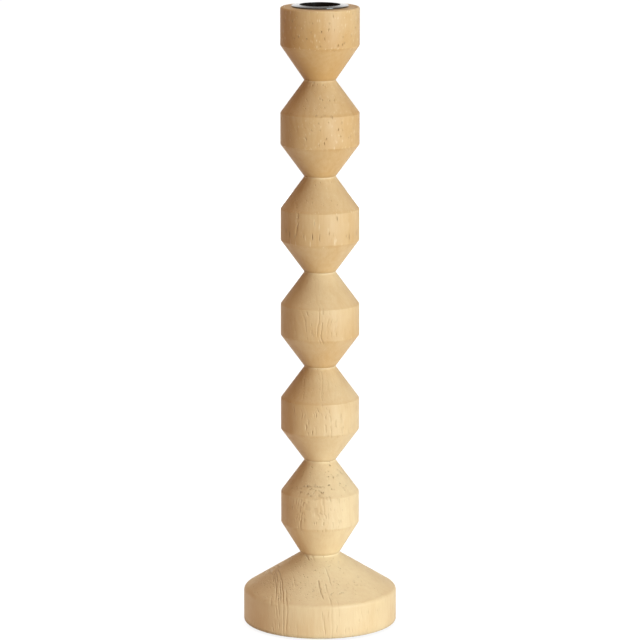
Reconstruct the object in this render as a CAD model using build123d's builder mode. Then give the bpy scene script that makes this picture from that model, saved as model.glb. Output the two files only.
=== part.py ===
from build123d import *
import math
import os

# A turned wooden candle stand: a head, five beads and a base are stacked on a steel tie rod,
# and a steel candle cup hangs by its flange in the head's socket.
# Millimetres, +Z up, origin at the middle of the felt underside.

# Whole stand, from the table to the top of the cup's flange
STAND_HEIGHT = 350.5

# Wood stock that the beads and the head are turned to
TURNED_DIAMETER = 43.8

# Felt pad
FELT_THICKNESS = 1.2
FELT_SETBACK = 5.0

# Base
BASE_DIAMETER = 86.0
BASE_RIM_HEIGHT = 18.6
BASE_CONE_HEIGHT = 20.1
BASE_NECK_DIAMETER = 22.1
BASE_FOOT_ROUND = 1.1
BASE_SHOULDER_ROUND = 2.8

# Beads
BEAD_COUNT = 5
BEAD_BAND_HEIGHT = 17.5
BEAD_EDGE_ROUND = 1.2
NECK_DIAMETER = 17.8
NECK_LAND = 0.7
NECK_EASE = 0.3

# Head
HEAD_CONE_HEIGHT = 19.1
HEAD_RIM_HEIGHT = 21.05
HEAD_EDGE_ROUND = 1.2
HEAD_TOP_ROUND = 1.1

# Spigots that centre each wooden piece on the one below it
SPIGOT_DIAMETER = 11.0
SPIGOT_LENGTH = 4.0
SPIGOT_CLEARANCE = 0.1
SPIGOT_END_GAP = 0.3

# Candle cup
CANDLE_DIAMETER = 22.0
CANDLE_CLEARANCE = 0.25
CANDLE_DEPTH = 21.0
CUP_WALL = 0.8
CUP_MOUTH_ROUND = 0.2
CUP_FLOOR_ROUND = 1.5
CUP_THROAT_ROUND = 0.3
FLANGE_WIDTH = 3.75
FLANGE_THICKNESS = 0.85
FLANGE_RISE = 0.4
FLANGE_EDGE_ROUND = 0.15
LARGEST_EDGE_SHARE = 0.45
SOCKET_CLEARANCE = 0.15
SOCKET_CHAMFER = 0.6
SOCKET_FLOOR_GAP = 1.0

# Tie rod, washers and nuts
ROD_DIAMETER = 6.0
ROD_CLEARANCE = 0.25
ROD_CHAMFER = 0.6
ROD_STICK_OUT = 1.5
WASHER_DIAMETER = 12.0
WASHER_THICKNESS = 1.6
WASHER_CLEARANCE = 0.2
NUT_ACROSS_FLATS = 10.0
NUT_HEIGHT = 5.0
NUT_THREAD_CLEARANCE = 0.05
NUT_FACE_SETBACK = 0.25
NUT_CHAMFER_ANGLE = 30.0
POCKET_CLEARANCE = 0.75
POCKET_END_GAP = 1.0

# Radii that follow from the sizes above
turned_radius = TURNED_DIAMETER / 2
neck_radius = NECK_DIAMETER / 2
base_radius = BASE_DIAMETER / 2
base_neck_radius = BASE_NECK_DIAMETER / 2
rod_radius = ROD_DIAMETER / 2
rod_hole_radius = rod_radius + ROD_CLEARANCE
spigot_radius = SPIGOT_DIAMETER / 2
recess_radius = spigot_radius + SPIGOT_CLEARANCE
recess_depth = SPIGOT_LENGTH + SPIGOT_END_GAP
cup_bore_radius = CANDLE_DIAMETER / 2 + CANDLE_CLEARANCE
cup_barrel_radius = cup_bore_radius + CUP_WALL
flange_radius = cup_barrel_radius + FLANGE_WIDTH
socket_radius = cup_barrel_radius + SOCKET_CLEARANCE
washer_radius = WASHER_DIAMETER / 2
nut_corner_radius = NUT_ACROSS_FLATS / 2 / math.cos(math.pi / 6)
pocket_radius = max(washer_radius, nut_corner_radius) + POCKET_CLEARANCE

# Heights of the stack: the beads share what the base and the head leave
base_bottom = FELT_THICKNESS
base_shoulder = base_bottom + BASE_RIM_HEIGHT
base_top = base_shoulder + BASE_CONE_HEIGHT + NECK_LAND
flange_top = STAND_HEIGHT
flange_edge_top = flange_top - FLANGE_RISE
head_top = flange_edge_top - FLANGE_THICKNESS
head_shoulder = head_top - HEAD_RIM_HEIGHT
head_bottom = head_shoulder - HEAD_CONE_HEIGHT
bead_height = (head_bottom - base_top) / BEAD_COUNT
bead_cone_height = (bead_height - BEAD_BAND_HEIGHT - NECK_LAND) / 2

# Heights of the cup and of the fastenings at both ends of the rod
cup_floor = flange_top - CANDLE_DEPTH
cup_bottom = cup_floor - CUP_WALL
socket_floor = cup_bottom - SOCKET_FLOOR_GAP
fastening_height = WASHER_THICKNESS + NUT_HEIGHT
pocket_depth = fastening_height + ROD_STICK_OUT + POCKET_END_GAP
top_seat = socket_floor - pocket_depth
base_seat = base_bottom + pocket_depth
rod_top = top_seat + fastening_height + ROD_STICK_OUT
rod_bottom = base_seat - fastening_height - ROD_STICK_OUT

os.makedirs("parts", exist_ok=True)


def finish(part, name):
    """Label a finished piece and write it under its name."""
    part.label = name
    export_step(part, f"parts/{name}.step")


def corner(outline, radius, height):
    """The corner of a turning's outline at a radius and a height."""
    return outline.vertices().sort_by_distance((radius, height))[0]


def make_bead(name, bottom, foot_radius):
    """A bead: spigot, lower cone, band, upper cone and a narrow land, drilled for the rod and a spigot."""
    band_bottom = bottom + bead_cone_height
    band_top = band_bottom + BEAD_BAND_HEIGHT
    top = bottom + bead_height
    with BuildPart() as bead:
        with BuildSketch(Plane.XZ) as outline:
            with BuildLine():
                Polyline(
                    (0, bottom - SPIGOT_LENGTH),
                    (spigot_radius, bottom - SPIGOT_LENGTH),
                    (spigot_radius, bottom),
                    (foot_radius, bottom),
                    (turned_radius, band_bottom),
                    (turned_radius, band_top),
                    (neck_radius, top - NECK_LAND),
                    (neck_radius, top),
                    (0, top),
                    close=True,
                )
            make_face()
            fillet(corner(outline, foot_radius, bottom), NECK_EASE)
            fillet(corner(outline, turned_radius, band_bottom), BEAD_EDGE_ROUND)
            fillet(corner(outline, turned_radius, band_top), BEAD_EDGE_ROUND)
            fillet(corner(outline, neck_radius, top), NECK_EASE)
        revolve(axis=Axis.Z)
        with Locations((0, 0, top)):
            CounterBoreHole(rod_hole_radius, recess_radius, recess_depth)
    finish(bead.part, name)


def make_washer(name, bottom):
    """A flat washer round the rod."""
    with BuildPart() as washer:
        with BuildSketch(Plane.XY.offset(bottom)):
            Circle(washer_radius)
            Circle(rod_radius + WASHER_CLEARANCE, mode=Mode.SUBTRACT)
        extrude(amount=WASHER_THICKNESS)
    finish(washer.part, name)


def make_nut(name, bottom):
    """A hexagon nut on the rod, with its corners turned off at both faces."""
    face_radius = NUT_ACROSS_FLATS / 2 - NUT_FACE_SETBACK
    corner_drop = (nut_corner_radius - face_radius) * math.tan(math.radians(NUT_CHAMFER_ANGLE))
    top = bottom + NUT_HEIGHT
    with BuildPart() as nut:
        with BuildSketch(Plane.XY.offset(bottom)):
            RegularPolygon(NUT_ACROSS_FLATS / 2, 6, major_radius=False)
            Circle(rod_radius + NUT_THREAD_CLEARANCE, mode=Mode.SUBTRACT)
        extrude(amount=NUT_HEIGHT)
        with BuildSketch(Plane.XZ):
            with BuildLine():
                Polyline(
                    (0, bottom),
                    (face_radius, bottom),
                    (nut_corner_radius, bottom + corner_drop),
                    (nut_corner_radius, top - corner_drop),
                    (face_radius, top),
                    (0, top),
                    close=True,
                )
            make_face()
        revolve(axis=Axis.Z, mode=Mode.INTERSECT)
    finish(nut.part, name)


# Felt pad, glued under the base and set back from its edge
with BuildPart() as felt_pad:
    with BuildSketch():
        Circle(base_radius - FELT_SETBACK)
    extrude(amount=FELT_THICKNESS)
finish(felt_pad.part, "felt_pad")

# Base: a plinth with a cone, drilled for the rod, with a pocket for the nut below
with BuildPart() as base:
    with BuildSketch(Plane.XZ) as base_outline:
        with BuildLine():
            Polyline(
                (0, base_bottom),
                (base_radius, base_bottom),
                (base_radius, base_shoulder),
                (base_neck_radius, base_top - NECK_LAND),
                (base_neck_radius, base_top),
                (0, base_top),
                close=True,
            )
        make_face()
        fillet(corner(base_outline, base_radius, base_bottom), BASE_FOOT_ROUND)
        fillet(corner(base_outline, base_radius, base_shoulder), BASE_SHOULDER_ROUND)
        fillet(corner(base_outline, base_neck_radius, base_top), NECK_EASE)
    revolve(axis=Axis.Z)
    with Locations((0, 0, base_top)):
        CounterBoreHole(rod_hole_radius, recess_radius, recess_depth)
    with Locations(Plane(origin=(0, 0, base_bottom), z_dir=(0, 0, -1))):
        Hole(pocket_radius, depth=pocket_depth)
finish(base.part, "base")

# Beads, counted from the base up; the lowest has a wider foot
for index in range(BEAD_COUNT):
    foot_radius = neck_radius if index else base_neck_radius
    make_bead(f"bead_{index + 1}", base_top + index * bead_height, foot_radius)

# Head: a cone under a plain rim, with the cup's socket above the pocket for the nut
with BuildPart() as head:
    with BuildSketch(Plane.XZ) as head_outline:
        with BuildLine():
            Polyline(
                (0, head_bottom - SPIGOT_LENGTH),
                (spigot_radius, head_bottom - SPIGOT_LENGTH),
                (spigot_radius, head_bottom),
                (neck_radius, head_bottom),
                (turned_radius, head_shoulder),
                (turned_radius, head_top),
                (0, head_top),
                close=True,
            )
        make_face()
        fillet(corner(head_outline, neck_radius, head_bottom), NECK_EASE)
        fillet(corner(head_outline, turned_radius, head_shoulder), HEAD_EDGE_ROUND)
        fillet(corner(head_outline, turned_radius, head_top), HEAD_TOP_ROUND)
    revolve(axis=Axis.Z)
    with Locations((0, 0, head_top)):
        Hole(socket_radius, depth=head_top - socket_floor)
    with Locations((0, 0, socket_floor)):
        CounterBoreHole(rod_hole_radius, pocket_radius, pocket_depth)
    mouth = head.edges().filter_by(GeomType.CIRCLE).group_by(Axis.Z)[-1].sort_by(SortBy.RADIUS)[0]
    chamfer(mouth, SOCKET_CHAMFER)
finish(head.part, "head")

# Candle cup: a pressed barrel with a flat floor and a flange that rises to the mouth and lies on the head
with BuildPart() as candle_cup:
    with BuildSketch(Plane.XZ) as cup_section:
        with BuildLine():
            Polyline(
                (0, cup_bottom),
                (cup_barrel_radius, cup_bottom),
                (cup_barrel_radius, head_top),
                (flange_radius, head_top),
                (flange_radius, flange_edge_top),
                (cup_bore_radius, flange_top),
                (cup_bore_radius, cup_floor),
                (0, cup_floor),
                close=True,
            )
        make_face()
        flange_edge_round = min(FLANGE_EDGE_ROUND, LARGEST_EDGE_SHARE * FLANGE_THICKNESS)
        fillet(corner(cup_section, cup_barrel_radius, cup_bottom), CUP_FLOOR_ROUND + CUP_WALL)
        fillet(corner(cup_section, cup_barrel_radius, head_top), CUP_THROAT_ROUND)
        fillet(corner(cup_section, flange_radius, head_top), flange_edge_round)
        fillet(corner(cup_section, flange_radius, flange_edge_top), flange_edge_round)
        fillet(corner(cup_section, cup_bore_radius, flange_top), CUP_MOUTH_ROUND)
        fillet(corner(cup_section, cup_bore_radius, cup_floor), CUP_FLOOR_ROUND)
    revolve(axis=Axis.Z)
finish(candle_cup.part, "candle_cup")

# Tie rod, from the nut under the base to the nut under the cup
with BuildPart() as tie_rod:
    with BuildSketch(Plane.XY.offset(rod_bottom)):
        Circle(rod_radius)
    extrude(amount=rod_top - rod_bottom)
    chamfer(tie_rod.edges().filter_by(GeomType.CIRCLE), ROD_CHAMFER)
finish(tie_rod.part, "tie_rod")

# Fastenings at both ends of the rod
make_washer("top_washer", top_seat)
make_nut("top_nut", top_seat + WASHER_THICKNESS)
make_washer("base_washer", base_seat - WASHER_THICKNESS)
make_nut("base_nut", base_seat - fastening_height)
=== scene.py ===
"""Looks of a turned wooden candle stand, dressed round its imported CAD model.

A head, five beads and a base, each turned from its own piece of pale timber, stand on a steel tie rod.
A black enamelled cup lies in the head and a felt pad under the base. The CAD nodes keep their shapes and
get their finishes here. The thread of the rod and the felt are modelled here. Metres, +Z up.
"""

import math
from typing import NamedTuple

import bmesh
import bpy
from bpy.props import FloatProperty, FloatVectorProperty, IntProperty, PointerProperty
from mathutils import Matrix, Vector


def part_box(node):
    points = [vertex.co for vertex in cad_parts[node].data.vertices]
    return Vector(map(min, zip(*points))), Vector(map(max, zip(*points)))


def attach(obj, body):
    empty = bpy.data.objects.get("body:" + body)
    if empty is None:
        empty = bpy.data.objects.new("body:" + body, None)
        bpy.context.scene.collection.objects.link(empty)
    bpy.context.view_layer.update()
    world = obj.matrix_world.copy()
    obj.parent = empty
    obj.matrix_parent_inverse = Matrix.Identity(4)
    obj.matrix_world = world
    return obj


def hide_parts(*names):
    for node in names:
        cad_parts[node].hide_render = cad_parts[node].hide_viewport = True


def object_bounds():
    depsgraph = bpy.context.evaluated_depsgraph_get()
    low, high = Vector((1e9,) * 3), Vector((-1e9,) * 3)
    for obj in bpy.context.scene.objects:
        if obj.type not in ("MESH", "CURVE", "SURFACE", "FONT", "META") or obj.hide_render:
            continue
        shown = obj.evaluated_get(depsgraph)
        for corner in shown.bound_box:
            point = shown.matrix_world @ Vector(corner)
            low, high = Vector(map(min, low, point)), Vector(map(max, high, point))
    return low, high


bl_info = {
    "name": "Turned candle stand",
    "version": (1, 0, 0),
    "blender": (4, 5, 0),
    "location": "View3D > Sidebar > Candle stand",
    "description": "Finishes, felt, rod thread and studio stage of a turned wooden candle stand",
    "category": "Object",
}

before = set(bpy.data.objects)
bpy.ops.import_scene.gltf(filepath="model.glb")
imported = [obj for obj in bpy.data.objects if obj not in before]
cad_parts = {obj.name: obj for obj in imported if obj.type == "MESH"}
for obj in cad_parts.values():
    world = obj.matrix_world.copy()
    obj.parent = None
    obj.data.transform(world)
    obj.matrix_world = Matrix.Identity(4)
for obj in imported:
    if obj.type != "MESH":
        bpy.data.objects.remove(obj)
cad_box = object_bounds()

# Middle of a noise, and how far it mostly strays from there
NOISE_MIDDLE = 0.5
NOISE_REACH = 0.25
# Detail of a noise
PLAIN_NOISE = 1.0
SOFT_NOISE = 2.0
FINE_NOISE = 3.0
FINEST_NOISE = 4.0


class Plank(NamedTuple):
    """The timber that one piece was turned from. Lengths are in metres.

    The pith bearing is in degrees from the front towards the right. The lean is how far the grain runs
    to the right and to the back for each metre up. Tone is 0 for pale and 1 for honey, and tone slope is
    its change for each metre to the right and up; both are partly the wood's own and partly painted light.
    Vessels is the share of them that shows, and filled is the share of those that holds pale sealer.
    Band share and cone share are how strongly rings and vessels show on the band and on the upper cone.
    Painted highlight is how strongly the top rim and the end grain of the top face are painted paler, as
    a highlight and a sheen. Each open ring is a distance from the piece's axis towards the pith and a
    strength, and it breaks off about every ring piece. Fan is how far the rings turn, in degrees for each
    metre towards the pith.
    """

    pith_bearing: float
    pith_distance: float
    lean: tuple
    wander: float
    tone: float
    tone_slope: tuple
    vessel_length: float
    band_share: float
    cone_share: float
    seed: float
    filled: float
    vessels: float = 1.0
    painted_highlight: float = 1.0
    ring_piece: float = 0.0045
    fan: float = 0.0
    open_rings: tuple = ()


# The tones run from honey at the head to pale at the base, partly the wood's own and partly painted light
# for the stronger light near the floor; the tone slopes partly paint light as well
PLANKS = {
    "head": Plank(
        pith_bearing=70.0,
        pith_distance=0.110,
        lean=(0.02, 0.26),
        wander=0.0015,
        tone=0.88,
        tone_slope=(-2.5, -8.5),
        vessel_length=0.004,
        band_share=1.8,
        cone_share=0.0,
        seed=3.0,
        filled=0.6,
    ),
    "bead_5": Plank(
        pith_bearing=-80.0,
        pith_distance=0.090,
        lean=(-0.03, 0.20),
        wander=0.0015,
        tone=0.73,
        tone_slope=(3.0, -4.7),
        vessel_length=0.004,
        band_share=1.4,
        cone_share=1.1,
        seed=5.0,
        filled=0.6,
        painted_highlight=0.2,
    ),
    "bead_4": Plank(
        pith_bearing=95.0,
        pith_distance=0.100,
        lean=(0.0, 0.02),
        wander=0.0008,
        tone=0.66,
        tone_slope=(0.6, -3.2),
        vessel_length=0.009,
        band_share=2.0,
        cone_share=0.8,
        seed=8.0,
        filled=0.65,
        ring_piece=0.004,
        open_rings=((-0.0153, 0.5),),
    ),
    "bead_3": Plank(
        pith_bearing=-75.0,
        pith_distance=0.080,
        lean=(-0.10, 0.03),
        wander=0.0020,
        tone=0.60,
        tone_slope=(1.3, -7.2),
        vessel_length=0.009,
        band_share=0.75,
        cone_share=0.2,
        seed=13.0,
        filled=0.3,
        vessels=0.95,
        open_rings=(
            (0.0113, 0.6),
            (0.0071, 0.8),
            (0.0030, 0.9),
            (0.0011, 1.0),
            (-0.0021, 0.5),
            (-0.0061, 0.6),
            (-0.0105, 0.5),
        ),
    ),
    "bead_2": Plank(
        pith_bearing=80.0,
        pith_distance=0.095,
        lean=(-0.07, 0.05),
        wander=0.0016,
        tone=0.53,
        tone_slope=(-7.0, 1.5),
        vessel_length=0.010,
        band_share=1.0,
        cone_share=0.5,
        seed=21.0,
        filled=0.3,
        vessels=0.95,
        open_rings=(
            (-0.0064, 0.7),
            (-0.0020, 0.4),
            (0.0038, 0.8),
            (0.0066, 0.8),
            (0.0103, 0.7),
            (0.0131, 0.6),
        ),
    ),
    "bead_1": Plank(
        pith_bearing=-12.0,
        pith_distance=0.0315,
        lean=(-0.02, -0.09),
        wander=0.0014,
        tone=0.37,
        tone_slope=(-6.5, -1.0),
        vessel_length=0.006,
        band_share=1.1,
        cone_share=2.0,
        seed=34.0,
        filled=0.35,
        ring_piece=0.004,
        open_rings=(
            (0.0207, 0.7),
            (0.0196, 0.9),
            (0.0184, 0.7),
            (0.0170, 0.6),
            (0.0152, 0.6),
        ),
    ),
    "base": Plank(
        pith_bearing=-58.0,
        pith_distance=0.200,
        lean=(0.0, 0.0),
        wander=0.0010,
        tone=0.21,
        tone_slope=(1.0, -8.0),
        vessel_length=0.010,
        band_share=0.75,
        cone_share=1.4,
        seed=55.0,
        filled=0.2,
        vessels=0.85,
        ring_piece=0.016,
        fan=-830.0,
        open_rings=(
            (0.0291, 0.75),
            (0.0281, 0.70),
            (0.0272, 0.80),
            (0.0262, 0.80),
            (0.0254, 0.70),
            (0.0245, 0.80),
            (0.0232, 0.90),
            (0.0194, 0.35),
            (0.0161, 0.55),
            (0.0102, 0.95),
            (0.0078, 0.55),
            (0.0054, 0.60),
        ),
    ),
}


class Socket:
    """An output of a shader node. Arithmetic on it adds Math nodes."""

    def __init__(self, finish, output):
        self.finish = finish
        self.output = output

    def math(self, operation, *values):
        """A Math node on the given values, of which this socket is one."""
        names = ("Value", "Value_001", "Value_002")
        return self.finish.node("ShaderNodeMath", {"operation": operation}, dict(zip(names, values)))

    def __add__(self, other):
        return self.math("ADD", self, other)

    def __radd__(self, other):
        return self.math("ADD", other, self)

    def __sub__(self, other):
        return self.math("SUBTRACT", self, other)

    def __rsub__(self, other):
        return self.math("SUBTRACT", other, self)

    def __mul__(self, other):
        return self.math("MULTIPLY", self, other)

    def __rmul__(self, other):
        return self.math("MULTIPLY", other, self)

    def __truediv__(self, other):
        return self.math("DIVIDE", self, other)

    def __pow__(self, other):
        return self.math("POWER", self, other)

    def __abs__(self):
        return self.math("ABSOLUTE", self)

    def within(self, low, high):
        """The value, kept between two limits."""
        return self.math("MINIMUM", self.math("MAXIMUM", self, low), high)


class Finish:
    """The node tree of a material or of the world."""

    def __init__(self, owner):
        owner.use_nodes = True
        self.owner = owner
        self.tree = owner.node_tree
        self.tree.nodes.clear()

    def node(self, kind, settings=None, sockets=None, output=None):
        """Add a node, apply its settings, then fill its sockets with values or links."""
        made = self.tree.nodes.new(kind)
        for name, value in (settings or {}).items():
            setattr(made, name, value)
        inputs = {entry.identifier: entry for entry in made.inputs}
        for name, value in (sockets or {}).items():
            if isinstance(value, Socket):
                self.tree.links.new(value.output, inputs[name])
            else:
                inputs[name].default_value = value
        chosen = [entry for entry in made.outputs if output in (None, entry.identifier)]
        return Socket(self, chosen[0]) if chosen else None

    def place(self):
        """The point on the object, in metres."""
        return self.node("ShaderNodeTexCoord", output="Object")

    def split(self, vector):
        """The three parts of a vector."""
        return [self.node("ShaderNodeSeparateXYZ", None, {"Vector": vector}, axis) for axis in "XYZ"]

    def join(self, x, y, z):
        """A vector from its three parts."""
        return self.node("ShaderNodeCombineXYZ", None, {"X": x, "Y": y, "Z": z})

    def noise(self, vector, detail=SOFT_NOISE, output="Fac"):
        """Soft noise about 0.5, one feature to each unit of the vector."""
        sockets = {"Vector": vector, "Scale": 1.0, "Detail": detail}
        return self.node("ShaderNodeTexNoise", None, sockets, output)

    def even_noise(self, x, y, z, size, detail):
        """Noise with features of one size."""
        return self.noise(self.join(x / size, y / size, z / size), detail)

    def grain_noise(self, across, depth, rise, width, length, seed):
        """Noise drawn out along the grain."""
        return self.noise(self.join(across / width, depth / width, rise / length + seed))

    def ramp(self, value, start, end):
        """A smooth step from 0 at start to 1 at end."""
        settings = {"interpolation_type": "SMOOTHSTEP"}
        sockets = {"Value": value, "From Min": start, "From Max": end}
        return self.node("ShaderNodeMapRange", settings, sockets)

    def mix(self, share, first, second):
        """The first colour turning into the second one."""
        sockets = {"Factor_Float": share, "A_Color": colour(first), "B_Color": colour(second)}
        return self.node("ShaderNodeMix", {"data_type": "RGBA"}, sockets, "Result_Color")

    def blend(self, share, first, second):
        """The first shader turning into the second one."""
        sockets = {"Fac": share, "Shader": first, "Shader_001": second}
        return self.node("ShaderNodeMixShader", None, sockets)

    def bump(self, height):
        """Normals for a relief whose height is in metres."""
        return self.node("ShaderNodeBump", None, {"Height": height, "Distance": 1.0})

    def surface(self, sockets):
        """Close the tree with one Principled shader and return the material."""
        return self.close(self.node("ShaderNodeBsdfPrincipled", None, sockets))

    def close(self, shader):
        """Feed a shader to the output and return the owner of the tree."""
        of_world = isinstance(self.owner, bpy.types.World)
        kind = "ShaderNodeOutputWorld" if of_world else "ShaderNodeOutputMaterial"
        self.node(kind, None, {"Surface": shader})
        return self.owner


def colour(value):
    """A colour as sockets take it, with full alpha; a link stays a link."""
    return value if isinstance(value, Socket) else (*value, 1.0)


# Share of a piece's girth at which its cones turn into its band
BAND_EDGE = (0.93, 0.985)
# How much less open grain shows on a lower cone, and the height over which that sets in
LOWER_CONE_LOSS = 0.93
LOWER_CONE_START = 0.001
# Noise under which a strong ring is broken off, the addition for a faint one, and the fade at a break
RING_BREAK = 0.40
FAINT_RING_BREAK = 0.22
BREAK_FADE = 0.10
# Steps that keep the noise of the rings and of the vessel groups apart
RING_STEP = 5.0
GROUP_STEP = 3.0
# Width of the narrowest vessel and of a vessel's flat floor, as shares of the whole width
NARROW_VESSEL = 0.45
VESSEL_FLOOR = 0.15
# Noise at which a group of open vessels starts and is full
GROUP_EDGE = (0.32, 0.44)
# Share of its height, from the top, at which the painted highlight on the rim and the painted sheen on the
# end grain are full
RIM_FULL = 1 / 2
END_FULL = 1 / 3
# Noise at which dust on the enamel starts and is full, and the same for pale fibres in the felt
DUST_EDGE = (0.55, 0.80)
FIBRE_EDGE = (0.35, 0.70)
# Thread in shares of the pitch: its depth, the end of the root's flat and both ends of the crest's
THREAD_DEPTH = 0.613
ROOT_END = 0.25
CREST_START = 0.5625
CREST_END = 0.6875
# Vertices of the thread that lie nearer than this share of the pitch are one
MERGE_SHARE = 0.001
# Steps in the rounding of the felt's edge
EDGE_STEPS = 4


def joint_under(name):
    """Height of the joint under a piece, at the top of the next piece down. The base has none."""
    names = list(PLANKS)
    below = names[names.index(name) + 1 :]
    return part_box(below[0])[1].z if below else None


def ring_grooves(finish, plank, looks, x, y, rise, across, depth):
    """Grooves of the open rings round the pith, the faint ones more broken."""
    piece = plank.ring_piece
    grooves = 0.0
    for number, (offset, strength) in enumerate(plank.open_rings):
        bearing = math.radians(plank.pith_bearing + plank.fan * offset)
        from_pith_x = across - math.sin(bearing) * plank.pith_distance
        from_pith_y = depth + math.cos(bearing) * plank.pith_distance
        distance = (from_pith_x * from_pith_x + from_pith_y * from_pith_y) ** 0.5
        groove = finish.ramp(abs(distance - (plank.pith_distance - offset)), looks.ring_line, 0.0)
        own_rise = rise / piece + (plank.seed + RING_STEP * number)
        whole = finish.noise(finish.join(x / piece, y / piece, own_rise), PLAIN_NOISE)
        broken = RING_BREAK + FAINT_RING_BREAK * (1.0 - strength)
        grooves = groove * finish.ramp(whole, broken, broken + BREAK_FADE) * strength + grooves
    return grooves


def open_vessels(finish, plank, looks, across, depth, rise):
    """Short vessels along the grain, in groups: the open ones and those filled with sealer."""
    group = finish.grain_noise(
        across, depth, rise, looks.group_width, looks.group_length, GROUP_STEP * plank.seed
    )
    apart = looks.vessel_spacing
    cell = finish.join(across / apart, depth / apart, rise / plank.vessel_length + plank.seed)
    sockets = {"Vector": cell, "Scale": 1.0}
    gap = finish.node("ShaderNodeTexVoronoi", None, sockets, "Distance")
    chance, width, kind = finish.split(finish.node("ShaderNodeTexVoronoi", None, sockets, "Color"))
    radius = looks.vessel_width / apart * (NARROW_VESSEL + (1.0 - NARROW_VESSEL) * width)
    cut = finish.ramp(gap, radius, VESSEL_FLOOR * radius) * finish.ramp(group, *GROUP_EDGE)
    cut = cut * chance.math("LESS_THAN", chance, plank.vessels)
    filled = kind.math("LESS_THAN", kind, plank.filled)
    return cut * (1.0 - filled), cut * filled


def wood_finish(name, plank, looks):
    """Solid wood: clouds and streaks of tone, open rings and open vessels along the grain."""
    finish = Finish(bpy.data.materials.new(name))
    low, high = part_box(name)
    x, y, z = finish.split(finish.place())
    rise = z - (low.z + high.z) / 2

    # Grain: leaning fibres that wander from side to side
    slow = looks.wander_length
    drift = finish.noise(finish.join(x / slow, y / slow, rise / slow + plank.seed), FINE_NOISE, "Color")
    drift_x, drift_y, _ = finish.split(drift)
    wander = plank.wander / NOISE_REACH
    across = x - plank.lean[0] * rise + (drift_x - NOISE_MIDDLE) * wander
    depth = y - plank.lean[1] * rise + (drift_y - NOISE_MIDDLE) * wander

    # Tone: broad clouds, long streaks, fibres, a deeper band, and a painted highlight and sheen that make
    # the top rim and end grain paler
    girth = (x * x + y * y) ** 0.5 / ((high.x - low.x) / 2)
    band = finish.ramp(girth, *BAND_EDGE)
    broad = looks.cloud_size
    cloud = finish.noise(finish.join(x / broad, y / broad, rise / broad + plank.seed), FINEST_NOISE)
    streak = finish.grain_noise(across, depth, rise, looks.streak_width, looks.streak_length, plank.seed)
    fibre = finish.grain_noise(across, depth, rise, looks.fibre_width, looks.fibre_length, plank.seed)
    # Painted highlights: a paler top rim where light catches it, and paler end grain on a top face for its
    # sheen
    painted_highlight = finish.ramp(z, high.z - looks.rim_height, high.z - looks.rim_height * RIM_FULL)
    end = finish.ramp(z, high.z - looks.end_depth, high.z - looks.end_depth * END_FULL)
    # The plank's tone and its slopes are partly painted light
    tone = plank.tone + plank.tone_slope[0] * x + plank.tone_slope[1] * rise + band * looks.band_tone
    tone = tone + (cloud - NOISE_MIDDLE) * looks.clouding + (streak - NOISE_MIDDLE) * looks.streaking
    tone = tone + (fibre - NOISE_MIDDLE) * looks.fibre_tone
    tone = tone - (painted_highlight * looks.rim_highlight + end * looks.end_highlight) * plank.painted_highlight

    # Open grain, as strong as it shows on the band, on the upper cone and on the lower one
    cone = plank.cone_share * (1.0 - LOWER_CONE_LOSS * finish.ramp(rise, 0.0, -LOWER_CONE_START))
    shown = cone + (plank.band_share - cone) * band
    line = ring_grooves(finish, plank, looks, x, y, rise, across, depth) * shown
    empty, filled = open_vessels(finish, plank, looks, across, depth, rise)
    vessel = empty * shown
    sealed = filled * shown

    # Colour, with dirt in the grooves and painted shade over the joint under the piece
    shade = finish.mix(tone.within(0.0, 1.0), looks.pale, looks.honey)
    joint = joint_under(name)
    if joint is not None:
        # Painted shade: the lowest part of the piece darkens towards the joint, where the piece below
        # shades it
        joint_shade = finish.ramp(z - joint, looks.seam_height, 0.0)
        shade = finish.mix(joint_shade * looks.seam_shade, shade, looks.late)
    shade = finish.mix(line * line * looks.line_stain, shade, looks.late)
    shade = finish.mix(vessel * vessel * looks.vessel_stain, shade, looks.vessel)
    shade = finish.mix((sealed * looks.sealer_share).within(0.0, 1.0), shade, looks.sealer)
    height = (fibre - NOISE_MIDDLE) * looks.fibre_relief
    height = height - vessel * looks.vessel_depth - line * looks.ring_depth
    return finish.surface(
        {
            "Base Color": shade,
            "Roughness": looks.roughness + (fibre - NOISE_MIDDLE) * looks.roughness_spread,
            "Normal": finish.bump(height),
            "Specular IOR Level": looks.gloss,
        }
    )


def enamel_finish(looks):
    """Glossy black enamel with a slightly wavy skin and a little dust."""
    finish = Finish(bpy.data.materials.new("black_enamel"))
    x, y, z = finish.split(finish.place())
    wave = finish.even_noise(x, y, z, looks.wave_size, PLAIN_NOISE)
    dust = finish.even_noise(x, y, z, looks.dust_size, FINE_NOISE)
    shade = finish.mix(finish.ramp(dust, *DUST_EDGE) * looks.dust_share, looks.enamel, looks.dust)
    return finish.surface(
        {
            "Base Color": shade,
            "Roughness": looks.roughness + (dust - NOISE_MIDDLE) * looks.roughness_spread,
            "Normal": finish.bump(wave * looks.wave),
            "Coat Weight": 1.0,
            "Coat Roughness": looks.coat_roughness,
        }
    )


def zinc_finish(looks):
    """Zinc plate with a cloudy, faintly uneven shine."""
    finish = Finish(bpy.data.materials.new("zinc_plate"))
    x, y, z = finish.split(finish.place())
    cloud = finish.even_noise(x, y, z, looks.cloud_size, FINE_NOISE)
    shade = finish.mix(cloud, looks.zinc, looks.stain)
    roughness = looks.roughness + (cloud - NOISE_MIDDLE) * looks.roughness_spread
    return finish.surface({"Base Color": shade, "Metallic": 1.0, "Roughness": roughness})


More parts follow.
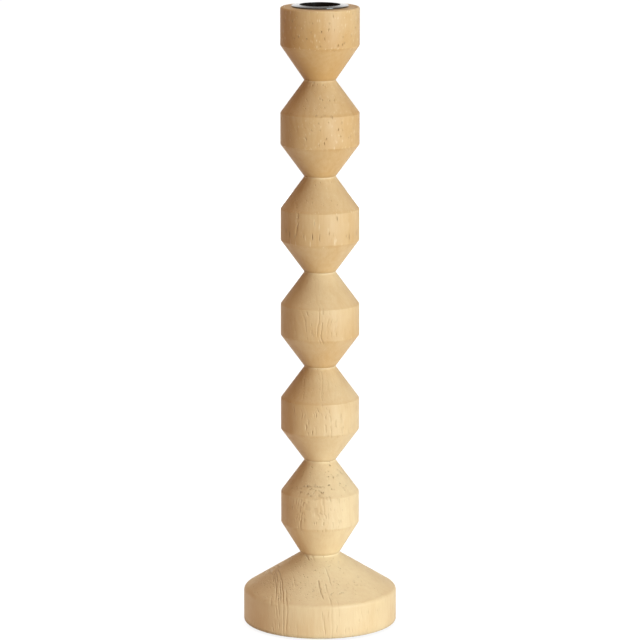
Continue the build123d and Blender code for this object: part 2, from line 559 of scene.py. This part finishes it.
def felt_finish(looks):
    """Pressed felt: matted fibres of two tones."""
    finish = Finish(bpy.data.materials.new("felt"))
    x, y, z = finish.split(finish.place())
    mat = finish.even_noise(x, y, z, looks.fibre_size, FINEST_NOISE)
    shade = finish.mix(finish.ramp(mat, *FIBRE_EDGE), looks.dark, looks.pale)
    return finish.surface(
        {
            "Base Color": shade,
            "Roughness": looks.roughness,
            "Normal": finish.bump(mat * looks.nap),
            "Sheen Weight": looks.sheen,
        }
    )


def dress(node, material):
    """Give a CAD node its finish."""
    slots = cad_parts[node].material_slots
    if not slots:
        raise RuntimeError(f"{node} has no material slot")
    for slot in slots:
        slot.material = material


def add_piece(name, mesh, body, slot, *nodes):
    """Turn a finished bmesh into a piece that rides on a body and stands for CAD nodes."""
    bmesh.ops.recalc_face_normals(mesh, faces=mesh.faces)
    data = bpy.data.meshes.new(name)
    mesh.to_mesh(data)
    mesh.free()
    data.shade_smooth()
    piece = bpy.data.objects.new(name, data)
    bpy.context.scene.collection.objects.link(piece)
    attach(piece, body)
    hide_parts(*nodes)
    return piece


def tint(name, description, default):
    """A colour that a user may change."""
    return FloatVectorProperty(
        name=name, description=description, subtype="COLOR", size=3, min=0.0, max=1.0, default=default
    )


def length(name, description, default):
    """A size in metres that a user may change."""
    return FloatProperty(
        name=name, description=description, subtype="DISTANCE", unit="LENGTH", precision=5, default=default
    )


def amount(name, description, default):
    """A plain number from 0 to 1 that a user may change."""
    return FloatProperty(name=name, description=description, min=0.0, max=1.0, default=default)


def angle(name, description, degrees):
    """An angle that a user may change, with its default in degrees."""
    return FloatProperty(
        name=name, description=description, subtype="ANGLE", default=math.radians(degrees)
    )


def power(name, description, default):
    """The power of a light in watts that a user may change."""
    return FloatProperty(name=name, description=description, unit="POWER", min=0.0, default=default)


class WoodLooks(bpy.types.PropertyGroup):
    """Colours and grain of the turned pieces"""

    pale: tint("Pale wood", "Colour of the palest wood", (0.898, 0.757, 0.478))
    honey: tint("Honey wood", "Colour of the deepest plain wood", (0.610, 0.355, 0.128))
    late: tint("Ring line", "Colour in the groove of a growth ring", (0.36, 0.21, 0.09))
    vessel: tint("Vessel", "Colour inside an open vessel", (0.33, 0.20, 0.09))
    sealer: tint("Sealer", "Colour of the sealer in a filled vessel", (0.92, 0.79, 0.52))
    sealer_share: amount("Sealer share", "How strongly the sealer shows", 0.24)
    wander_length: length("Wander length", "Length over which the grain wanders", 0.016)
    cloud_size: length("Cloud size", "Size of the clouds of tone", 0.016)
    clouding: amount("Clouding", "How far the clouds change the tone", 0.40)
    streak_width: length("Streak width", "Width of the streaks of tone", 0.0022)
    streak_length: length("Streak length", "Length of the streaks of tone", 0.030)
    streaking: amount("Streaking", "How far the streaks change the tone", 0.26)
    fibre_width: length("Fibre width", "Width of the raised fibres", 0.0009)
    fibre_length: length("Fibre length", "Length of the raised fibres", 0.010)
    fibre_tone: amount("Fibre tone", "How far the fibres change the tone", 0.12)
    fibre_relief: length("Fibre relief", "Height of the fibres that sanding leaves", 0.00009)
    ring_line: length("Ring line", "Half width of the groove of an open ring", 0.00075)
    ring_depth: length("Ring depth", "Depth of the groove of an open ring", 0.00025)
    line_stain: amount("Ring stain", "How dark the groove of an open ring is", 0.18)
    vessel_spacing: length("Vessel spacing", "Distance between open vessels", 0.0013)
    vessel_width: length("Vessel width", "Half width of the widest vessel", 0.00056)
    vessel_depth: length("Vessel depth", "Depth of an open vessel", 0.00028)
    vessel_stain: amount("Vessel stain", "How dark an open vessel is", 0.08)
    group_width: length("Group width", "Width of a group of open vessels", 0.007)
    group_length: length("Group length", "Length of a group of open vessels", 0.030)
    band_tone: amount("Band tone", "How much deeper in tone a band is than the cones", 0.07)
    # The next four settings paint highlights: a paler top rim where light catches it, and paler end grain
    # on a top face for its sheen
    rim_height: length("Rim height", "Height of the worn rim at the top of a piece", 0.0012)
    rim_highlight: amount("Rim wear", "How much paler the worn rim is", 0.12)
    end_depth: length("End depth", "How deep the paler end grain of a top face reaches", 0.0003)
    end_highlight: amount("End wear", "How much paler the end grain of a top face is", 0.22)
    # The next two settings paint shade over the joint under a piece: how high it reaches and how dark it is
    seam_height: length("Seam height", "Height of the dirt over the joint under a piece", 0.0022)
    seam_shade: amount("Seam stain", "How dark the dirt at a joint is", 0.26)
    roughness: amount("Roughness", "Roughness of the sealed wood", 0.55)
    roughness_spread: amount("Roughness spread", "How far the fibres change the roughness", 0.12)
    gloss: amount("Gloss", "Reflection of the sealed wood", 0.45)


class CupLooks(bpy.types.PropertyGroup):
    """Enamel of the candle cup"""

    enamel: tint("Enamel", "Colour of the enamel", (0.030, 0.024, 0.022))
    dust: tint("Dust", "Colour of the dust on the enamel", (0.10, 0.085, 0.07))
    roughness: amount("Roughness", "Roughness of the enamel", 0.15)
    coat_roughness: amount("Coat roughness", "Roughness of the enamel's clear top", 0.10)
    roughness_spread: amount("Roughness spread", "How far the dust changes the roughness", 0.1)
    wave: length("Wave", "Height of the waves in the enamel", 0.00002)
    wave_size: length("Wave size", "Width of the waves in the enamel", 0.004)
    dust_size: length("Dust size", "Width of the flecks of dust", 0.0007)
    dust_share: amount("Dust share", "How strongly the dust shows", 0.12)


class SteelLooks(bpy.types.PropertyGroup):
    """Zinc-plated rod, nuts and washers"""

    zinc: tint("Zinc", "Colour of the bright plate", (0.62, 0.63, 0.65))
    stain: tint("Stain", "Colour of the dull plate", (0.46, 0.46, 0.45))
    cloud_size: length("Cloud size", "Width of the clouds in the plate", 0.003)
    roughness: amount("Roughness", "Roughness of the plate", 0.36)
    roughness_spread: amount("Roughness spread", "How far the clouds change the roughness", 0.2)
    pitch: length("Pitch", "Rise of the rod's thread in one turn", 0.001)
    chamfer: length("Chamfer", "Width of the chamfer at both ends of the rod", 0.0006)
    sides: IntProperty(name="Sides", description="Steps in one turn of the thread", min=12, default=24)


class FeltLooks(bpy.types.PropertyGroup):
    """Felt pad under the base"""

    dark: tint("Dark fibre", "Colour of the dark fibres", (0.022, 0.020, 0.019))
    pale: tint("Pale fibre", "Colour of the pale fibres", (0.055, 0.050, 0.046))
    fibre_size: length("Fibre size", "Width of the matted fibres", 0.0006)
    nap: length("Nap", "Height of the matted fibres", 0.0003)
    roughness: amount("Roughness", "Roughness of the felt", 0.95)
    sheen: amount("Sheen", "Soft shine of the fibres", 0.25)
    edge: length("Edge", "Rounding of the cut edge", 0.0005)
    sides: IntProperty(name="Sides", description="Sides of the disc", min=24, default=128)


class StageLooks(bpy.types.PropertyGroup):
    """Floor, lights and camera"""

    camera_distance: length("Camera distance", "From the stand's axis to the camera", 2.038)
    camera_height: length("Camera height", "Height of the camera over the floor", 0.5769)
    camera_pitch: angle("Camera pitch", "Downward tilt of the camera", 11.19)
    camera_lens: FloatProperty(name="Lens", description="Focal length in millimetres", default=209.25)
    key_bearing: angle("Key bearing", "From the front to the right", 40.0)
    key_distance: length("Key distance", "From the stand's axis to the key light", 1.5)
    key_height: length("Key height", "Height of the key light's middle", 0.30)
    key_size: length("Key size", "Side of the key light", 0.6)
    key_power: power("Key power", "Power of the key light", 21.4)
    key_tint: tint("Key colour", "Colour of the key light", (0.785, 0.924, 1.0))
    fill_tint: tint("Fill colour", "Colour of the light from all round", (1.0, 0.588, 0.345))
    fill: amount("Fill", "Strength of the light from all round", 0.345)
    wall_top: angle("Wall top", "Height at which the white wall ends", 9.0)
    ceiling_start: angle("Ceiling", "Height at which the ceiling starts", 17.0)
    ceiling_tint: tint("Ceiling colour", "Colour of the ceiling in the gloss", (0.22, 0.21, 0.20))
    top_height: length("Top height", "Height of the light over the stand", 2.5)
    top_size: length("Top size", "Side of the light over the stand", 1.2)
    top_power: power("Top power", "Power of the light over the stand", 11.5)
    back_power: power("Back power", "Power of the light behind the stand", 9.0)
    bounce_tint: tint("Bounce colour", "Colour of the light that the floor sends up", (1.0, 0.77, 0.59))
    bounce_power: power("Bounce", "Power of the light that the floor sends up", 0.235)
    bounce_height: length("Bounce height", "Height of the lit disc over the floor", 0.003)
    bounce_size: length("Bounce size", "Width of the lit disc round the stand", 0.6)
    floor_tint: tint("Floor", "Colour of the floor", (0.5, 0.5, 0.5))
    floor_size: length("Floor size", "Half of the floor's side", 8.0)
    floor_glow: FloatProperty(name="Floor glow", description="Own light of the floor in view", default=1.35)
    shadow: amount("Shadow", "How much of the cast shadow the floor shows", 0.25)
    contact_reach: length("Contact reach", "How far the shadow under the foot reaches", 0.03)
    # Colour of the painted contact shadow under the foot
    contact_shadow_tint: tint("Contact colour", "Colour of the floor under the foot", (0.86, 0.86, 0.86))


class CANDLE_STAND_OT_turn_wood(bpy.types.Operator):
    """Give each turned piece the grain of its own plank"""

    bl_idname = "candle_stand.turn_wood"
    bl_label = "Turned wood"

    def execute(self, context):
        for node, plank in PLANKS.items():
            dress(node, wood_finish(node, plank, context.scene.candle_wood))
        return {"FINISHED"}


class CANDLE_STAND_OT_enamel_cup(bpy.types.Operator):
    """Enamel the candle cup"""

    bl_idname = "candle_stand.enamel_cup"
    bl_label = "Candle cup"

    def execute(self, context):
        dress("candle_cup", enamel_finish(context.scene.candle_cup))
        return {"FINISHED"}


class CANDLE_STAND_OT_thread_rod(bpy.types.Operator):
    """Thread the tie rod and plate it with its nuts and washers"""

    bl_idname = "candle_stand.thread_rod"
    bl_label = "Tie rod, nuts and washers"

    def execute(self, context):
        looks = context.scene.candle_steel
        zinc = zinc_finish(looks)
        for node in ("top_nut", "base_nut", "top_washer", "base_washer"):
            dress(node, zinc)
        low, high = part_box("tie_rod")
        crest = (high.x - low.x) / 2
        root = crest - THREAD_DEPTH * looks.pitch
        height = high.z - low.z + 2 * looks.pitch

        # One turn of the thread's outline, doubled until it is long enough and cut off flat at both ends
        mesh = bmesh.new()
        outline = (
            (root, 0.0),
            (root, ROOT_END),
            (crest, CREST_START),
            (crest, CREST_END),
            (root, 1.0),
        )
        start = low.z - looks.pitch
        corners = [mesh.verts.new((r, 0.0, start + share * looks.pitch)) for r, share in outline]
        edges = [mesh.edges.new(pair) for pair in zip(corners, corners[1:])]
        bmesh.ops.spin(
            mesh,
            geom=corners + edges,
            axis=(0, 0, 1),
            cent=(0, 0, 0),
            dvec=(0, 0, looks.pitch / looks.sides),
            angle=2 * math.pi,
            steps=looks.sides,
        )
        wound = looks.pitch
        while wound < height:
            copy = bmesh.ops.duplicate(mesh, geom=mesh.verts[:] + mesh.edges[:] + mesh.faces[:])["geom"]
            copied = [part for part in copy if isinstance(part, bmesh.types.BMVert)]
            bmesh.ops.translate(mesh, verts=copied, vec=(0, 0, wound))
            wound *= 2
        bmesh.ops.remove_doubles(mesh, verts=mesh.verts, dist=MERGE_SHARE * looks.pitch)
        for end, outwards in ((low.z, -1), (high.z, 1)):
            bmesh.ops.bisect_plane(
                mesh,
                geom=mesh.verts[:] + mesh.edges[:] + mesh.faces[:],
                plane_co=(0, 0, end),
                plane_no=(0, 0, outwards),
                clear_outer=True,
            )
        for vert in mesh.verts:
            to_end = min(vert.co.z - low.z, high.z - vert.co.z)
            reach = crest - max(0.0, looks.chamfer - to_end)
            radius = vert.co.xy.length
            if radius > reach:
                vert.co.xy = vert.co.xy * (reach / radius)
        bmesh.ops.holes_fill(mesh, edges=[edge for edge in mesh.edges if edge.is_boundary])
        rod = add_piece("threaded_rod", mesh, "stand", "zinc_steel", "tie_rod")
        rod.data.materials.append(zinc)
        return {"FINISHED"}


class CANDLE_STAND_OT_lay_felt(bpy.types.Operator):
    """Cut the felt pad and lay it under the base"""

    bl_idname = "candle_stand.lay_felt"
    bl_label = "Felt pad"

    def execute(self, context):
        looks = context.scene.candle_felt
        low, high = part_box("felt_pad")
        radius = (high.x - low.x) / 2
        thickness = high.z - low.z
        mesh = bmesh.new()
        bmesh.ops.create_circle(mesh, cap_ends=True, radius=radius, segments=looks.sides)
        raised = bmesh.ops.extrude_face_region(mesh, geom=mesh.faces[:])["geom"]
        top = [part for part in raised if isinstance(part, bmesh.types.BMVert)]
        bmesh.ops.translate(mesh, verts=top, vec=(0, 0, thickness))
        rim = [edge for edge in mesh.edges if abs(edge.verts[0].co.z - edge.verts[1].co.z) < thickness / 2]
        bmesh.ops.bevel(
            mesh,
            geom=rim,
            offset=looks.edge,
            affect="EDGES",
            segments=EDGE_STEPS,
            profile=0.5,
            material=-1,
        )
        bmesh.ops.translate(mesh, verts=mesh.verts, vec=(0, 0, low.z))
        felt = add_piece("felt_disc", mesh, "stand", "felt", "felt_pad")
        felt.data.materials.append(felt_finish(looks))
        return {"FINISHED"}


class CANDLE_STAND_OT_set_stage(bpy.types.Operator):
    """Set the floor, the lights and the camera"""

    bl_idname = "candle_stand.set_stage"
    bl_label = "Studio stage"

    def execute(self, context):
        looks = context.scene.candle_stage
        scene = context.scene
        scene.view_settings.view_transform = "Standard"
        scene.world = self.make_world(looks)
        self.lay_floor(scene, looks)
        self.hang_key(scene, looks)
        self.hang_back(scene, looks)
        self.light_table(scene, looks)
        self.hang_top(scene, looks)
        self.aim_camera(scene, looks)
        return {"FINISHED"}

    def seen(self, finish):
        """1 for rays from the camera and for those that gloss and glass send on."""
        kinds = ("Is Camera Ray", "Is Glossy Ray", "Is Transmission Ray")
        rays = [finish.node("ShaderNodeLightPath", output=kind) for kind in kinds]
        return rays[0].math("MINIMUM", rays[0] + rays[1] + rays[2], 1.0)

    def make_world(self, looks):
        """White to look at, with a dim ceiling that only gloss shows, and a warm fill for the rest."""
        finish = Finish(bpy.data.worlds.new("studio"))
        warmth = {"Color": colour(looks.fill_tint), "Strength": looks.fill}
        fill = finish.node("ShaderNodeBackground", None, warmth)
        upward = finish.split(finish.node("ShaderNodeTexCoord", output="Generated"))[2]
        ceiling = finish.ramp(upward, math.sin(looks.wall_top), math.sin(looks.ceiling_start))
        in_gloss = ceiling * (1.0 - finish.node("ShaderNodeLightPath", output="Is Camera Ray"))
        backdrop = finish.mix(in_gloss, (1.0, 1.0, 1.0), looks.ceiling_tint)
        white = finish.node("ShaderNodeBackground", None, {"Color": backdrop, "Strength": 1.0})
        return finish.close(finish.blend(self.seen(finish), fill, white))

    def lay_floor(self, scene, looks):
        """A pale floor that glows in view, with a painted contact shadow under the foot, keeps the cast
        shadow and is clear from below.
        """
        finish = Finish(bpy.data.materials.new("floor"))
        paint = finish.node("ShaderNodeBsdfDiffuse", None, {"Color": colour(looks.floor_tint)})
        # Painted contact shadow: the glow turns to the contact colour where the stand comes near
        reach = {"Distance": looks.contact_reach}
        floor_occlusion = finish.node("ShaderNodeAmbientOcclusion", None, reach, "AO")
        shade = finish.mix(floor_occlusion, looks.contact_shadow_tint, (1.0, 1.0, 1.0))
        glow = finish.node("ShaderNodeEmission", None, {"Color": shade, "Strength": looks.floor_glow})
        lit = finish.blend(self.seen(finish) * (1.0 - looks.shadow), paint, glow)
        clear = finish.node("ShaderNodeBsdfTransparent")
        below = finish.node("ShaderNodeNewGeometry", output="Backfacing")
        mesh = bmesh.new()
        bmesh.ops.create_grid(mesh, x_segments=1, y_segments=1, size=looks.floor_size)
        data = bpy.data.meshes.new("floor")
        mesh.to_mesh(data)
        mesh.free()
        data.materials.append(finish.close(finish.blend(below, lit, clear)))
        floor = bpy.data.objects.new("floor", data)
        scene.collection.objects.link(floor)

    def hang_light(self, scene, name, place, size, watts, hue=(1.0, 1.0, 1.0)):
        """A square soft light that shines straight down and stays out of the gloss."""
        light = bpy.data.lights.new(name, "AREA")
        light.shape = "SQUARE"
        light.size = size
        light.energy = watts
        light.color = hue
        lamp = bpy.data.objects.new(name, light)
        lamp.location = place
        lamp.visible_glossy = False
        scene.collection.objects.link(lamp)
        return lamp

    def aim_light(self, lamp):
        """Turn a light to the middle of the stand."""
        middle = (cad_box[0] + cad_box[1]) / 2
        lamp.rotation_euler = (middle - lamp.location).to_track_quat("-Z", "Y").to_euler()

    def hang_key(self, scene, looks):
        """A large light at the right, near the height of the stand, which also shows in the gloss."""
        bearing = looks.key_bearing
        out = Vector((math.sin(bearing), -math.cos(bearing), 0.0)) * looks.key_distance
        place = out + Vector((0, 0, looks.key_height))
        key = self.hang_light(scene, "key", place, looks.key_size, looks.key_power, looks.key_tint)
        key.visible_glossy = True
        self.aim_light(key)

    def hang_back(self, scene, looks):
        """A weaker light straight behind the stand, for its back."""
        place = (0.0, looks.key_distance, looks.key_height)
        back = self.hang_light(scene, "back", place, looks.key_size, looks.back_power, looks.key_tint)
        back.visible_camera = False
        self.aim_light(back)

    def light_table(self, scene, looks):
        """Light that a white table sends up round the foot."""
        place = (0.0, 0.0, looks.bounce_height)
        watts = looks.bounce_power
        bounce = self.hang_light(scene, "bounce", place, looks.bounce_size, watts, looks.bounce_tint)
        bounce.data.shape = "DISK"
        bounce.rotation_euler = (math.pi, 0.0, 0.0)
        bounce.visible_camera = False

    def hang_top(self, scene, looks):
        """A weak light over the stand."""
        self.hang_light(scene, "top", (0.0, 0.0, looks.top_height), looks.top_size, looks.top_power)

    def aim_camera(self, scene, looks):
        """The camera in front of the stand, tilted down."""
        data = bpy.data.cameras.new("camera")
        data.lens = looks.camera_lens
        camera = bpy.data.objects.new("camera", data)
        camera.location = (0.0, -looks.camera_distance, looks.camera_height)
        camera.rotation_euler = (math.pi / 2 - looks.camera_pitch, 0.0, 0.0)
        scene.collection.objects.link(camera)
        scene.camera = camera


OPERATORS = (
    CANDLE_STAND_OT_turn_wood,
    CANDLE_STAND_OT_enamel_cup,
    CANDLE_STAND_OT_thread_rod,
    CANDLE_STAND_OT_lay_felt,
    CANDLE_STAND_OT_set_stage,
)

LOOKS = {
    "candle_wood": WoodLooks,
    "candle_cup": CupLooks,
    "candle_steel": SteelLooks,
    "candle_felt": FeltLooks,
    "candle_stage": StageLooks,
}


class CANDLE_STAND_PT_panel(bpy.types.Panel):
    """Pieces of the candle stand"""

    bl_idname = "CANDLE_STAND_PT_panel"
    bl_label = "Candle stand"
    bl_space_type = "VIEW_3D"
    bl_region_type = "UI"
    bl_category = "Candle stand"

    def draw(self, context):
        for operator, (name, looks) in zip(OPERATORS, LOOKS.items()):
            box = self.layout.box()
            box.operator(operator.bl_idname)
            for entry in looks.__annotations__:
                box.prop(getattr(context.scene, name), entry)


CLASSES = (*LOOKS.values(), *OPERATORS, CANDLE_STAND_PT_panel)


def register():
    for made in CLASSES:
        bpy.utils.register_class(made)
    for name, looks in LOOKS.items():
        setattr(bpy.types.Scene, name, PointerProperty(type=looks))


def unregister():
    for name in LOOKS:
        delattr(bpy.types.Scene, name)
    for made in reversed(CLASSES):
        bpy.utils.unregister_class(made)


def main():
    register()
    bpy.ops.candle_stand.turn_wood()
    bpy.ops.candle_stand.enamel_cup()
    bpy.ops.candle_stand.thread_rod()
    bpy.ops.candle_stand.lay_felt()
    bpy.ops.candle_stand.set_stage()


if __name__ == "__main__":
    main()
